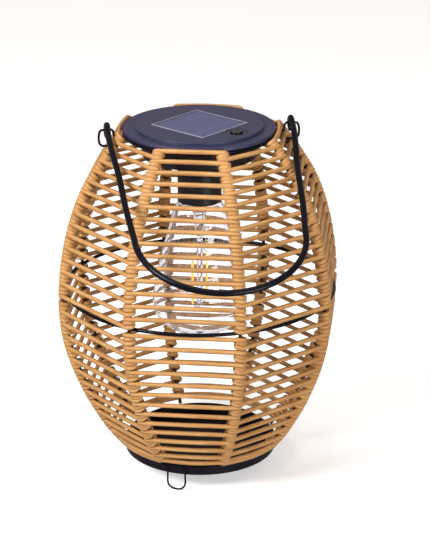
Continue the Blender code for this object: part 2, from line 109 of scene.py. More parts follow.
# ------------------------------------------------------------------ node helpers
class Shader:
    """A Principled material and short calls that add nodes to it."""

    def __init__(self, name, **settings):
        self.material = bpy.data.materials.new(name)
        self.material.use_nodes = True
        self.tree = self.material.node_tree
        self.bsdf = self.tree.nodes["Principled BSDF"]
        for key, value in settings.items():
            self.bsdf.inputs[key.replace("_", " ")].default_value = value

    def add(self, kind, **settings):
        node = self.tree.nodes.new(kind)
        for key, value in settings.items():
            setattr(node, key, value)
        return node

    def link(self, source, target):
        self.tree.links.new(source, target)

    def place(self, scale=(1, 1, 1), turn=0.0, attribute=None):
        """Object coordinates, or a vector attribute, stretched by scale."""
        mapping = self.add("ShaderNodeMapping")
        mapping.inputs["Scale"].default_value = scale
        mapping.inputs["Rotation"].default_value = (0, 0, turn)
        if attribute:
            source = self.add("ShaderNodeAttribute", attribute_name=attribute)
            self.link(source.outputs["Vector"], mapping.inputs["Vector"])
        else:
            source = self.add("ShaderNodeTexCoord")
            self.link(source.outputs["Object"], mapping.inputs["Vector"])
        return mapping.outputs["Vector"]

    def noise(self, where, scale, detail=3.0, rough=0.5):
        node = self.add("ShaderNodeTexNoise")
        node.inputs["Scale"].default_value = scale
        node.inputs["Detail"].default_value = detail
        node.inputs["Roughness"].default_value = rough
        self.link(where, node.inputs["Vector"])
        return node.outputs["Fac"]

    def ramp(self, value, *stops):
        node = self.add("ShaderNodeValToRGB")
        ramp = node.color_ramp
        ramp.elements[0].position, ramp.elements[0].color = stops[0][0], (*stops[0][1], 1)
        ramp.elements[1].position, ramp.elements[1].color = stops[-1][0], (*stops[-1][1], 1)
        for position, color in stops[1:-1]:
            ramp.elements.new(position).color = (*color, 1)
        self.link(value, node.inputs["Fac"])
        return node.outputs["Color"]

    def mix(self, a, b, factor, blend="MIX"):
        node = self.add("ShaderNodeMix", data_type="RGBA", blend_type=blend)
        for value, socket in ((a, node.inputs["A"]), (b, node.inputs["B"]), (factor, node.inputs["Factor"])):
            if isinstance(value, (tuple, float)):
                socket.default_value = value
            else:
                self.link(value, socket)
        return node.outputs["Result"]

    def range(self, value, low, high, target):
        node = self.add("ShaderNodeMapRange")
        node.inputs["From Min"].default_value = 0.3
        node.inputs["From Max"].default_value = 0.7
        node.inputs["To Min"].default_value = low
        node.inputs["To Max"].default_value = high
        self.link(value, node.inputs["Value"])
        self.link(node.outputs["Result"], self.bsdf.inputs[target])

    def bump(self, height, strength, distance, normal=None):
        node = self.add("ShaderNodeBump")
        node.inputs["Strength"].default_value = strength
        node.inputs["Distance"].default_value = distance
        self.link(height, node.inputs["Height"])
        if normal is not None:
            self.link(normal, node.inputs["Normal"])
        return node.outputs["Normal"]


def rattan():
    """Peeled cane: pale gold skin with lengthwise fibres, darker flecks and a soft shine."""
    s = Shader("rattan_cane", Specular_IOR_Level=0.45)
    fibres = s.noise(s.place((1.6, 1.6, 60), attribute="fibre"), 1.0, 4.0, 0.6)
    streak = s.noise(s.place((5.0, 5.0, 25), attribute="fibre"), 1.0, 3.0, 0.5)
    patch = s.noise(s.place(), 38.0, 2.0)
    flecks = s.noise(s.place((2.5, 2.5, 300), attribute="fibre"), 1.0, 2.0, 0.6)
    body = s.ramp(fibres, (0.28, (0.42, 0.182, 0.055)), (0.5, (0.60, 0.315, 0.108)),
                  (0.74, (0.73, 0.440, 0.185)))
    tone = s.ramp(patch, (0.3, (0.80, 0.76, 0.70)), (0.7, (1.0, 1.0, 1.0)))
    body = s.mix(body, tone, 0.8, "MULTIPLY")
    dark = s.ramp(flecks, (0.68, (1.0, 1.0, 1.0)), (0.80, (0.55, 0.40, 0.28)))
    s.link(s.mix(body, dark, 0.7, "MULTIPLY"), s.bsdf.inputs["Base Color"])
    s.range(streak, 0.36, 0.56, "Roughness")
    fine = s.bump(streak, 0.35, 0.0004)
    s.link(s.bump(fibres, 0.25, 0.0008, fine), s.bsdf.inputs["Normal"])
    return s.material


def enamel(name, color, rough, grain=900.0, depth=0.00008):
    """Black stove enamel on wire or sheet: slightly uneven, thinner and shinier in spots."""
    s = Shader(name, Specular_IOR_Level=0.16)
    cloud = s.noise(s.place(), 60.0, 3.0)
    skin = s.noise(s.place(), grain, 2.0)
    dim = tuple(c * 0.7 for c in color)
    s.link(s.ramp(cloud, (0.3, dim), (0.7, color)), s.bsdf.inputs["Base Color"])
    s.range(cloud, rough - 0.05, rough + 0.10, "Roughness")
    s.link(s.bump(skin, 0.4, depth), s.bsdf.inputs["Normal"])
    return s.material


def plastic(name, color, rough, grain=1600.0, depth=0.00012):
    """Spark-finish moulding: fine even grain with slight shade and gloss drift."""
    s = Shader(name, Specular_IOR_Level=0.5)
    cloud = s.noise(s.place(), 30.0, 3.0)
    skin = s.noise(s.place(), grain, 2.0, 0.7)
    dim = tuple(c * 0.85 for c in color)
    s.link(s.ramp(cloud, (0.3, dim), (0.7, color)), s.bsdf.inputs["Base Color"])
    s.range(cloud, rough - 0.04, rough + 0.06, "Roughness")
    s.link(s.bump(skin, 0.5, depth), s.bsdf.inputs["Normal"])
    return s.material


def silicon():
    """Solar cell: dark blue-violet wafer with hair-thin fingers and two bus bars."""
    s = Shader("solar_silicon", Roughness=0.3, Specular_IOR_Level=0.6, Metallic=0.1)
    where = s.place((1, 1, 1), -math.radians(PANEL_TURN))
    fingers = s.add("ShaderNodeTexWave", wave_type="BANDS", bands_direction="X")
    fingers.inputs["Scale"].default_value = FINGER_SCALE
    s.link(where, fingers.inputs["Vector"])
    bars = s.add("ShaderNodeTexWave", wave_type="BANDS", bands_direction="Y")
    bars.inputs["Scale"].default_value = BAR_SCALE
    s.link(where, bars.inputs["Vector"])
    crystal = s.add("ShaderNodeTexVoronoi")
    crystal.inputs["Scale"].default_value = CRYSTAL_SCALE
    s.link(where, crystal.inputs["Vector"])
    base = s.ramp(crystal.outputs["Distance"], (0.0, (0.056, 0.070, 0.175)), (0.8, (0.070, 0.085, 0.205)))
    line = s.ramp(fingers.outputs["Fac"], (0.93, (0, 0, 0)), (1.0, (0.04, 0.04, 0.06)))
    bar = s.ramp(bars.outputs["Fac"], (0.985, (0, 0, 0)), (1.0, (0.05, 0.05, 0.08)))
    s.link(s.mix(s.mix(base, line, 1.0, "ADD"), bar, 1.0, "ADD"), s.bsdf.inputs["Base Color"])
    return s.material


def glass(name, tint, rough, wave, wave_scale):
    """Clear blown glass; wave is the height in metres of its slow unevenness, drawn out along Z."""
    s = Shader(name, Base_Color=(*tint, 1), Roughness=rough, IOR=1.46, Transmission_Weight=1.0)
    slow = s.noise(s.place((1, 1, 0.3)), wave_scale, 2.0)
    s.link(s.bump(slow, 1.0, wave), s.bsdf.inputs["Normal"])
    return s.material


def epoxy():
    """Thin clear resin over the cell, with a painted highlight: light and less see-through along its cut
    edge.
    """
    s = Shader("cell_epoxy", Roughness=0.18, Specular_IOR_Level=0.3)
    where = s.add("ShaderNodeSeparateXYZ")
    s.link(s.place((1, 1, 1), -math.radians(PANEL_TURN)), where.inputs["Vector"])
    reach = s.add("ShaderNodeMath", operation="MAXIMUM")
    for number, axis in enumerate("XY"):
        side = s.add("ShaderNodeMath", operation="ABSOLUTE")
        s.link(where.outputs[axis], side.inputs[0])
        s.link(side.outputs["Value"], reach.inputs[number])
    # Painted highlight: a light band along all four edges of the cover.
    edge = s.add("ShaderNodeMapRange")
    edge.inputs["From Min"].default_value = (PANEL / 2 - 0.75) * MM
    edge.inputs["From Max"].default_value = (PANEL / 2 - 0.35) * MM
    s.link(reach.outputs["Value"], edge.inputs["Value"])
    cloud = s.noise(s.place(), 55.0, 3.0)
    haze = s.ramp(cloud, (0.3, (0.14, 0.15, 0.34)), (0.7, (0.20, 0.21, 0.44)))
    s.link(s.mix(haze, (0.62, 0.60, 0.72, 1.0), edge.outputs["Result"]), s.bsdf.inputs["Base Color"])
    # The painted highlight band is also made less see-through.
    cover = s.add("ShaderNodeMapRange")
    cover.inputs["To Min"].default_value = 0.12
    cover.inputs["To Max"].default_value = 0.60
    s.link(edge.outputs["Result"], cover.inputs["Value"])
    s.link(cover.outputs["Result"], s.bsdf.inputs["Alpha"])
    s.link(s.bump(cloud, 0.3, 0.00005), s.bsdf.inputs["Normal"])
    return s.material


def phosphor():
    """Yellow silicone coat over a row of tiny chips."""
    s = Shader("filament_phosphor", Roughness=0.5, Emission_Strength=0.8, Emission_Color=(1.0, 0.50, 0.05, 1))
    chips = s.noise(s.place((1, 1, 3)), 700.0, 2.0)
    s.link(s.ramp(chips, (0.35, (0.95, 0.42, 0.03)), (0.65, (1.0, 0.62, 0.10))), s.bsdf.inputs["Base Color"])
    s.link(s.bump(chips, 0.4, 0.0002), s.bsdf.inputs["Normal"])
    return s.material


def metal(name, color, rough):
    """Bright plated steel, brushed along Z."""
    s = Shader(name, Metallic=1.0)
    brushed = s.noise(s.place((1, 1, 12)), 900.0, 2.0)
    dim = tuple(c * 0.8 for c in color)
    s.link(s.ramp(brushed, (0.3, dim), (0.7, color)), s.bsdf.inputs["Base Color"])
    s.range(brushed, rough - 0.06, rough + 0.10, "Roughness")
    s.link(s.bump(brushed, 0.3, 0.00005), s.bsdf.inputs["Normal"])
    return s.material


def board():
    """Green solder mask over the lighter lines of the tracks."""
    s = Shader("board_mask", Roughness=0.45)
    tracks = s.add("ShaderNodeTexBrick")
    tracks.inputs["Scale"].default_value = 220.0
    tracks.inputs["Color1"].default_value = (0.02, 0.16, 0.06, 1)
    tracks.inputs["Color2"].default_value = (0.03, 0.22, 0.08, 1)
    tracks.inputs["Mortar"].default_value = (0.06, 0.32, 0.12, 1)
    s.link(s.place(), tracks.inputs["Vector"])
    s.link(tracks.outputs["Color"], s.bsdf.inputs["Base Color"])
    s.link(s.bump(tracks.outputs["Fac"], 0.3, 0.0001), s.bsdf.inputs["Normal"])
    return s.material


CANE = rattan()
WIRE = enamel("black_wire", (0.0040, 0.0034, 0.0085), 0.20)
# Painted shade: the ribs take the dark brown of the shadowed gaps between the cane strands.
RIB_PAINTED_SHADE = enamel("rib_painted_shade", (0.060, 0.028, 0.011), 0.60)
TRAY = enamel("black_tray", (0.0085, 0.0070, 0.0130), 0.40)
LID = plastic("lid_moulding", (0.026, 0.027, 0.080), 0.44)
SHELL = plastic("dark_moulding", (0.0085, 0.0075, 0.0130), 0.40)
GLOSS = plastic("switch_rubber", (0.010, 0.010, 0.015), 0.28, 900.0, 0.00005)
SILICON = silicon()
EPOXY = epoxy()
BULB_GLASS = glass("bulb_glass_clear", (0.970, 0.970, 0.998), 0.0, 0.0006, 34.0)
STEM_GLASS = glass("stem_glass_clear", (0.93, 0.93, 0.97), 0.02, 0.0003, 60.0)
GOLD = phosphor()
STEEL = metal("bright_steel", (0.62, 0.62, 0.65), 0.28)
BOARD = board()
WRAP = plastic("battery_wrap", (0.04, 0.19, 0.26), 0.30)


# ------------------------------------------------------------------ shape helpers
def polar(radius, azimuth, z=0.0):
    a = math.radians(azimuth)
    return Vector((radius * math.sin(a), -radius * math.cos(a), z))


def link_piece(name, mesh, look, body, *replaced, smooth_angle=80.0):
    """Put a mesh made in millimetres into the scene, on its body and in place of its CAD nodes."""
    mesh.transform(Matrix.Scale(MM, 4))
    mesh.shade_smooth()
    mesh.set_sharp_from_angle(angle=math.radians(smooth_angle))
    obj = bpy.data.objects.new(name, mesh)
    bpy.context.scene.collection.objects.link(obj)
    mesh.materials.append(look)
    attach(obj, body)
    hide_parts(*replaced)
    return obj


def sweep(points, radius, sides, loop=False, widths=None):
    """Round tube along points; stores a fibre coordinate: a circle round it and metres along it."""
    points = [Vector(p) for p in points]
    count = len(points)
    verts = []
    fibre = []
    faces = []
    normal = None
    along = 0.0
    for i, point in enumerate(points):
        before = points[i - 1] if (i > 0 or loop) else point
        after = points[(i + 1) % count] if (i < count - 1 or loop) else point
        tangent = (after - before).normalized()
        if normal is None:
            normal = tangent.orthogonal()
        normal = (normal - tangent * normal.dot(tangent)).normalized()
        side = tangent.cross(normal)
        width = radius * (widths[i] if widths else 1.0)
        if i:
            along += (point - before).length * MM
        for k in range(sides):
            a = 2 * math.pi * k / sides
            verts.append(point + (normal * math.cos(a) + side * math.sin(a)) * width)
            fibre.extend((math.cos(a), math.sin(a), along))
    spans = count if loop else count - 1
    for i in range(spans):
        j = (i + 1) % count
        shift = 0
        if loop and j == 0:
            shift = closing_shift(verts, sides, i)
        for k in range(sides):
            m = (k + 1) % sides
            faces.append((i * sides + k, i * sides + m, j * sides + (m + shift) % sides,
                          j * sides + (k + shift) % sides))
    if not loop:
        faces.append(tuple(reversed(range(sides))))
        faces.append(tuple(range((count - 1) * sides, count * sides)))
    return verts, faces, fibre


def closing_shift(verts, sides, last):
    """How far the section has turned when a loop comes back to its start."""
    first = verts[last * sides]
    gaps = [(verts[k] - first).length for k in range(sides)]
    return gaps.index(min(gaps))


def build(parts):
    """One mesh from several swept tubes, with the fibre attribute."""
    verts, faces, fibre = [], [], []
    for part_verts, part_faces, part_fibre in parts:
        start = len(verts)
        verts.extend(part_verts)
        faces.extend(tuple(v + start for v in face) for face in part_faces)
        fibre.extend(part_fibre)
    mesh = bpy.data.meshes.new("swept")
    mesh.from_pydata([tuple(v) for v in verts], [], faces)
    mesh.attributes.new("fibre", "FLOAT_VECTOR", "POINT").data.foreach_set("vector", fibre)
    return mesh


def rounded_ends(points, radius, steps=4):
    """Points with a dome added at both ends, and the width factor of each point."""
    points = [Vector(p) for p in points]
    head = (points[0] - points[1]).normalized()
    tail = (points[-1] - points[-2]).normalized()
    dome = [(math.sin(math.pi / 2 * i / steps), math.cos(math.pi / 2 * i / steps)) for i in range(1, steps)]
    dome.append((1.0, 0.02))
    front = [(points[0] + head * radius * (h - 1), w) for h, w in reversed(dome)]
    back = [(points[-1] + tail * radius * (h - 1), w) for h, w in dome]
    points[0] = points[0] - head * radius
    points[-1] = points[-1] - tail * radius
    path = [p for p, w in front] + points + [p for p, w in back]
    widths = [w for p, w in front] + [1.0] * len(points) + [w for p, w in back]
    return path, widths


def curve_through(points, steps):
    """Catmull-Rom points through the given ones."""
    points = [Vector(p) for p in points]
    out = []
    for i in range(len(points) - 1):
        b, c = points[i], points[i + 1]
        a = points[i - 1] if i > 0 else b + (b - c)
        d = points[i + 2] if i + 2 < len(points) else c + (c - b)
        for step in range(steps):
            t = step / steps
            out.append(0.5 * (2 * b + (c - a) * t + (2 * a - 5 * b + 4 * c - d) * t * t
                              + (3 * b - a - 3 * c + d) * t ** 3))
    out.append(points[-1])
    return out


def fillet(profile, closed=False):
    """(radius, height, round) stations; a corner with round > 0 becomes an arc of that size.

    A close extra station on both sides of each arc keeps the shading of the flat parts flat.
    """
    out = []
    count = len(profile)
    for i, (r, z, size) in enumerate(profile):
        here = Vector((r, z))
        if size <= 0 or (not closed and i in (0, count - 1)):
            out.append((r, z))
            continue
        to_prev = Vector(profile[i - 1][:2]) - here
        to_next = Vector(profile[(i + 1) % count][:2]) - here
        size = min(size, to_prev.length * 0.45, to_next.length * 0.45)
        start = here + to_prev.normalized() * size
        end = here + to_next.normalized() * size
        out.append(tuple(start + to_prev * 0.03))
        for step in range(5):
            t = step / 4
            out.append(tuple(start * (1 - t) ** 2 + here * 2 * t * (1 - t) + end * t ** 2))
        out.append(tuple(end + to_next * 0.03))
    return out


def lathe(profile, segments, centre=(0, 0), closed=False):
    """Revolve stations; a line runs from axis to axis, a loop comes back to its start."""
    stations = fillet(profile, closed)
    verts, faces, rows = [], [], []
    for radius, height in stations:
        if radius < 1e-6:
            rows.append([len(verts)])
            verts.append((centre[0], centre[1], height))
            continue
        start = len(verts)
        for i in range(segments):
            a = 2 * math.pi * i / segments
            verts.append((centre[0] + radius * math.cos(a), centre[1] + radius * math.sin(a), height))
        rows.append(list(range(start, start + segments)))
    pairs = list(zip(rows, rows[1:]))
    if closed:
        pairs.append((rows[-1], rows[0]))
    for low, high in pairs:
        if len(low) == 1 and len(high) == 1:
            continue
        for i in range(segments):
            j = (i + 1) % segments
            if len(low) == 1:
                faces.append((low[0], high[i], high[j]))
            elif len(high) == 1:
                faces.append((low[i], low[j], high[0]))
            else:
                faces.append((low[i], low[j], high[j], high[i]))
    mesh = bpy.data.meshes.new("lathed")
    mesh.from_pydata(verts, [], faces)
    return outward(mesh)


def outward(mesh):
    """Turn all faces to the outside."""
    bm = bmesh.new()
    bm.from_mesh(mesh)
    bmesh.ops.recalc_face_normals(bm, faces=bm.faces)
    bm.to_mesh(mesh)
    bm.free()
    return mesh


def slab(size_x, size_y, low, high, turn, edge=0.3, steps=3):
    """Flat plate with rounded edges, turned about Z."""
    bm = bmesh.new()
    bmesh.ops.create_cube(bm, size=1.0)
    bmesh.ops.scale(bm, vec=(size_x, size_y, high - low), verts=bm.verts)
    bmesh.ops.bevel(bm, geom=list(bm.edges), offset=edge, segments=steps, profile=0.5, affect="EDGES")
    bmesh.ops.translate(bm, vec=(0, 0, (low + high) / 2), verts=bm.verts)
    bmesh.ops.rotate(bm, matrix=Matrix.Rotation(math.radians(turn), 3, "Z"), verts=bm.verts)
    mesh = bpy.data.meshes.new("slab")
    bm.to_mesh(mesh)
    bm.free()
    return mesh


def cut(mesh, cutters):
    """Subtract the cutters; nothing of them stays in the scene."""
    scene = bpy.context.scene.collection
    body = bpy.data.objects.new("cut_body", mesh)
    scene.objects.link(body)
    tools = []
    for cutter in cutters:
        tool = bpy.data.objects.new("cut_tool", cutter)
        scene.objects.link(tool)
        tools.append(tool)
        step = body.modifiers.new("cut", "BOOLEAN")
        step.operation = "DIFFERENCE"
        step.solver = "EXACT"
        step.object = tool
    bpy.context.view_layer.update()
    result = bpy.data.meshes.new_from_object(body.evaluated_get(bpy.context.evaluated_depsgraph_get()))
    for used in tools + [body]:
        bpy.data.objects.remove(used, do_unlink=True)
    return result


# ------------------------------------------------------------------ cage lines
def smooth_curve(stations, value):
    """Value of the second column at a value of the first, by cubics between the stations."""
    value = min(max(value, stations[0][0]), stations[-1][0])
    k = 0
    while k < len(stations) - 2 and value > stations[k + 1][0]:
        k += 1
    slopes = []
    for i in (k, k + 1):
        low = stations[max(i - 1, 0)]
        high = stations[min(i + 1, len(stations) - 1)]
        slopes.append((high[1] - low[1]) / (high[0] - low[0]))
    (x0, y0), (x1, y1) = stations[k], stations[k + 1]
    span = x1 - x0
    t = (value - x0) / span
    a = 2 * t ** 3 - 3 * t ** 2 + 1
    b = t ** 3 - 2 * t ** 2 + t
    c = 3 * t ** 2 - 2 * t ** 3
    d = t ** 3 - t ** 2
    return a * y0 + b * span * slopes[0] + c * y1 + d * span * slopes[1]


def rib_radius(z):
    """Radius of the rib at a height, running straight on past its two ends."""
    low, high = RIB_OUTLINE[0][0], RIB_OUTLINE[-1][0]
    inside = min(max(z, low), high)
    radius = smooth_curve(RIB_OUTLINE, inside)
    return radius + rib_slope(inside) * (z - inside)


def rib_slope(z):
    low, high = RIB_OUTLINE[0][0], RIB_OUTLINE[-1][0]
    a = max(low, z - 1.5)
    b = min(high, z + 1.5)
    return (smooth_curve(RIB_OUTLINE, b) - smooth_curve(RIB_OUTLINE, a)) / (b - a)


def row_height(level):
    """Height of a weave row, counted from the top; half levels are the rows of every second panel."""
    if level < FIRST_LOW_ROW - 0.25:
        n = level - 1
        return ROW_TOP - ROW_PITCH_TOP * n - ROW_PITCH_GROW * n * (n - 1) / 2
    n = level - FIRST_LOW_ROW
    return max(ROW_FLOOR, ROW_MID - ROW_PITCH_MID * n + ROW_PITCH_SHRINK * n * (n - 1) / 2)


def coil(rib, middle, passes, spacing):
    """Strand points round one rib: in along the outer side, turns, and out along the outer side."""
    slope = rib_slope(middle)
    length = math.sqrt(1 + slope ** 2)
    middle += COIL_R * slope / length
    azimuth = RIB_START - RIB_PITCH + rib * RIB_PITCH
    turns = passes - 1
    start = -math.radians(RIB_PITCH / 2)
    end = 2 * math.pi * turns - start
    steps = round((end - start) / (2 * math.pi) * TURN_STEPS)
    fall = 1 if rib % 2 == 1 else -1
    reach = COIL_R + chance.uniform(0.0, 0.12)
    points = []
    for step in range(steps + 1):
        t = step / steps
        angle = start + (end - start) * t
        z = middle + fall * turns * spacing * (0.5 - t) / length
        out = reach * math.cos(angle)
        across = reach * math.sin(angle)
        point = polar(rib_radius(z) + out / length, azimuth, z - out * slope / length)
        points.append(point + polar(across, azimuth + 90))
    return points


def row_coil(row, rib):
    """The coil of one row on one rib: as many close passes as the row has room for."""
    middle = max(COIL_FLOOR, row_height(row + 0.25))
    pitch = 2 * (row_height(row) - row_height(row + 0.5)) if row < LAST_ROW else 2 * STRAND_R
    arc = pitch * math.sqrt(1 + rib_slope(middle) ** 2)
    passes = max(2, int(arc / COIL_PASS))
    return coil(rib, middle + chance.uniform(-0.12, 0.12), passes, arc / passes)


def weave_row(row):
    """One closed turn of cane: spans between ribs and coils round each rib."""
    coils = [row_coil(row, rib) for rib in range(RIB_COUNT)]
    path = []
    for rib in range(RIB_COUNT):
        path.extend(coils[rib])
        start, end = coils[rib][-1], coils[(rib + 1) % RIB_COUNT][0]
        bow = chance.uniform(-0.35, 0.35)
        swell = chance.uniform(-0.25, 0.35) + LOW_BOW.get(row, 0.0)
        if row == 1:
            swell += TOP_BOW[rib]
        outward_way = Vector((start.x + end.x, start.y + end.y, 0)).normalized()
        for t in SPAN_STOPS:
            bulge = math.sin(math.pi * t)
            path.append(start.lerp(end, t) + outward_way * swell * bulge + Vector((0, 0, bow * bulge)))
    return path


for half, first, last in (("upper", 1, FIRST_LOW_ROW - 1), ("lower", FIRST_LOW_ROW, LAST_ROW)):
    turns = [sweep(weave_row(row), STRAND_R, STRAND_SIDES, loop=True) for row in range(first, last + 1)]
    link_piece("rattan_weave_" + half, build(turns), CANE, "frame",
               *["rattan_%s_%d" % (half, panel) for panel in range(1, RIB_COUNT + 1)])


# ------------------------------------------------------------------ black wire frame
def hoop(name, node, radius, wire, z, segments=160, sides=14):
    path = [polar(radius, 360 * i / segments, z) for i in range(segments)]
    link_piece(name, build([sweep(path, wire, sides, loop=True)]), WIRE, "frame", node)


def node_ring(node):
    """Outer radius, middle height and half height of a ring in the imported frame."""
    low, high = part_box(node)
    return (high[0] - low[0]) / 2 / MM, (low[2] + high[2]) / 2 / MM, (high[2] - low[2]) / 2 / MM


for node in ("middle_ring", "top_ring", "bottom_ring"):
    outer, height, half_height = node_ring(node)
    wire = LOW_RING_WIRE if node == "bottom_ring" else RING_WIRE
    hoop(node.replace("_ring", "_hoop"), node, outer - half_height, wire, height)

for number, foot_turn in enumerate(FOOT_TURNS, 1):
    azimuth = FOOT_AZ + foot_turn
    out, along = polar(1, azimuth), polar(1, azimuth + 90)
    foot_r = BASE_R + FOOT_GAP + FOOT_WIRE
    half = FOOT_W / 2
    corners = [(-half, FOOT_TOP), (-half, 0), (-half, FOOT_LOW + 6), (-half + 1.8, FOOT_LOW + 2.6),
               (-half + 5, FOOT_LOW + FOOT_WIRE), (half - 5, FOOT_LOW + FOOT_WIRE),
               (half - 1.8, FOOT_LOW + 2.6), (half, FOOT_LOW + 6), (half, 0), (half, FOOT_TOP)]
    path = curve_through([out * foot_r + along * u + Vector((0, 0, z)) for u, z in corners], 5)
    path, widths = rounded_ends(path, FOOT_WIRE)
    link_piece("foot_loop_%d" % number, build([sweep(path, FOOT_WIRE, 10, widths=widths)]), WIRE,
               "frame", "foot_%d" % number)

for name, side in (("left", -1), ("right", 1)):
    corners = [(side * (PIVOT_X + x), 0, PIVOT_Z + z) for x, z in EYE_PATH]
    path = [Vector(corners[0])] + curve_through(corners[1:-1], 5) + [Vector(corners[-1])]
    path, widths = rounded_ends(path, EYE_WIRE)
    link_piece("bail_eye_" + name, build([sweep(path, EYE_WIRE, 12, widths=widths)]), WIRE, "frame",
               "handle_eye_" + name)

tray = [(0, 0, 0), (BASE_R, 0, 1.2), (BASE_R, BASE_H, 0.8), (BASE_LIP, BASE_H, 0.5),
        (BASE_LIP, BASE_H - BASE_T, 0.4), (BASE_R - BASE_T, BASE_H - BASE_T, 0.3),
        (BASE_R - BASE_T, BASE_T, 0.5), (0, BASE_T, 0)]
link_piece("base_dish", lathe(tray, 128), TRAY, "frame", "base_tray", smooth_angle=40)


# ------------------------------------------------------------------ bail handle
def bail_path():
    lean = math.radians(HANDLE_LEAN)
    down = Vector((0, -math.sin(lean), -math.cos(lean)))
    back = Vector((0, math.cos(lean), -math.sin(lean)))
    half = [down * HOOK_RETURN + back * HOOK_R * 2, back * HOOK_R * 2]
    for step in range(1, 12):
        a = math.pi * step / 12
        half.append(back * HOOK_R * (1 + math.cos(a)) - down * HOOK_R * math.sin(a))
    half.append(Vector((0, 0, 0)))
    half = [p - back * HOOK_R + Vector((PIVOT_X, 0, 0)) for p in half]
    stations = [down * along - back * HOOK_R + Vector((width, 0, 0))
                for along, width in [(0, PIVOT_X)] + HANDLE_LEG]
    arc = []
    for step in range(25):
        a = math.pi / 2 * step / 24
        reach = HANDLE_BOW + HANDLE_BOW_DEPTH * math.sin(a)
        arc.append(down * reach - back * HOOK_R + Vector((HANDLE_BOW_W * math.cos(a), 0, 0)))
    straight = curve_through(stations + [arc[0]], 6)[1:-1]
    half = half + straight + arc
    other = [Vector((-p.x, p.y, p.z)) for p in reversed(half[:-1])]
    return [Vector((0, 0, PIVOT_Z)) + p for p in half + other]


path, widths = rounded_ends(bail_path(), HANDLE_R)
link_piece("bail", build([sweep(path, HANDLE_R, 20, widths=widths)]), WIRE, "bail", "handle")


# ------------------------------------------------------------------ lid and solar panel
button_at = polar(BUTTON_DIST, BUTTON_AZ)
lid = [(0, DISC_UNDER, 0), (LID_RECESS_R, DISC_UNDER, 0), (LID_RECESS_R, FLANGE_Z0, 0),
       (FLANGE_R, FLANGE_Z0, 0.5), (FLANGE_R, FLANGE_Z1, 1.1), (DISC_R + 0.9, FLANGE_Z1 - 0.25, 0.4),
       (DISC_R, FLANGE_Z1 - 0.25, 0.3), (DISC_R, DISC_Z1, 0.9), (0, DISC_Z1, 0)]
pocket = slab(PANEL + 0.8, PANEL + 0.8, DISC_Z1 - PANEL_POCKET, DISC_Z1 + 8, PANEL_TURN, 0.25, 2)
bezel_pocket = lathe([(0, DISC_Z1 - BEZEL_POCKET, 0), (BEZEL_R + GAP, DISC_Z1 - BEZEL_POCKET, 0),
                      (BEZEL_R + GAP, DISC_Z1 + 5, 0), (0, DISC_Z1 + 5, 0)], 64, button_at.xy)
button_hole = lathe([(0, DISC_UNDER - 5, 0), (BUTTON_R + 0.5, DISC_UNDER - 5, 0),
                     (BUTTON_R + 0.5, DISC_Z1 + 5, 0), (0, DISC_Z1 + 5, 0)], 48, button_at.xy)
link_piece("lid_top", cut(lathe(lid, 160), [pocket, bezel_pocket, button_hole]), LID, "lamp_unit",
           "lid_cover", smooth_angle=35)

cell_z = DISC_Z1 - PANEL_POCKET + GAP
link_piece("cell_wafer", slab(PANEL - 1, PANEL - 1, cell_z, cell_z + 0.5, PANEL_TURN, 0.05, 1), SILICON,
           "lamp_unit", "solar_cell", smooth_angle=15)
link_piece("cell_cover", slab(PANEL, PANEL, cell_z + 0.85, cell_z + 1.35, PANEL_TURN, 0.18, 3), EPOXY,
           "lamp_unit", "solar_glass", smooth_angle=15)

bezel = [(BEZEL_IN, DISC_Z1 - BEZEL_POCKET + GAP, 0), (BEZEL_R, DISC_Z1 - BEZEL_POCKET + GAP, 0),
         (BEZEL_R, DISC_Z1 - 0.1, 0.8), (BEZEL_IN, DISC_Z1 - 0.5, 0.6)]
link_piece("switch_rim", lathe(bezel, 64, button_at.xy, closed=True), GLOSS, "lamp_unit", "switch_bezel",
           smooth_angle=40)
button = [(0, DISC_UNDER - 3.2, 0), (BUTTON_R, DISC_UNDER - 3.2, 0.6), (BUTTON_R, DISC_Z1 + 1.3, 0.9),
          (3.4, DISC_Z1 + 1.5, 0.8), (1.8, DISC_Z1 + 1.0, 0.8), (0, DISC_Z1 + 0.95, 0)]
link_piece("switch_cap", lathe(button, 48, button_at.xy), GLOSS, "button", "switch_button",
           smooth_angle=40)

case_top = DISC_UNDER - GAP
case = [(CASE_HOLE_R, CASE_Z0, 0.3), (CASE_R, CASE_Z0, 1.6), (CASE_R, SEAM_Z, 0.2),
        (CASE_R - SEAM_DEPTH, SEAM_Z + 0.4, 0.1), (CASE_R - SEAM_DEPTH, SEAM_Z + 1.2, 0.1),
        (CASE_R, SEAM_Z + 1.6, 0.2), (CASE_R, case_top, 0.3), (CASE_R - CASE_T, case_top, 0.3),
        (CASE_R - CASE_T, CASE_Z0 + CASE_T, 0.6), (CASE_HOLE_R, CASE_Z0 + CASE_T, 0.3)]
link_piece("battery_cup", lathe(case, 128, closed=True), SHELL, "lamp_unit", "battery_case",
           smooth_angle=40)

socket_top = CASE_Z0 - GAP
socket = [(SOCKET_R - SOCKET_T, SOCKET_Z0, 0.3), (SOCKET_R, SOCKET_Z0, 0.7)]
for groove in range(GROOVES):
    z = SOCKET_Z0 + GROOVE_FIRST + groove * GROOVE_PITCH
    socket += [(SOCKET_R, z, 0.2), (SOCKET_R - GROOVE_DEPTH, z + 0.5, 0.1),
               (SOCKET_R - GROOVE_DEPTH, z + 1.1, 0.1), (SOCKET_R, z + 1.6, 0.2)]
socket += [(SOCKET_R, socket_top - 4, 1.0), (SOCKET_R + SOCKET_COLLAR, socket_top - 1.5, 0.5),
           (SOCKET_R + SOCKET_COLLAR, socket_top, 0.3), (SOCKET_R - SOCKET_T, socket_top, 0.3)]
link_piece("bulb_holder", lathe(socket, 96, closed=True), SHELL, "lamp_unit", "lamp_socket",
           smooth_angle=40)


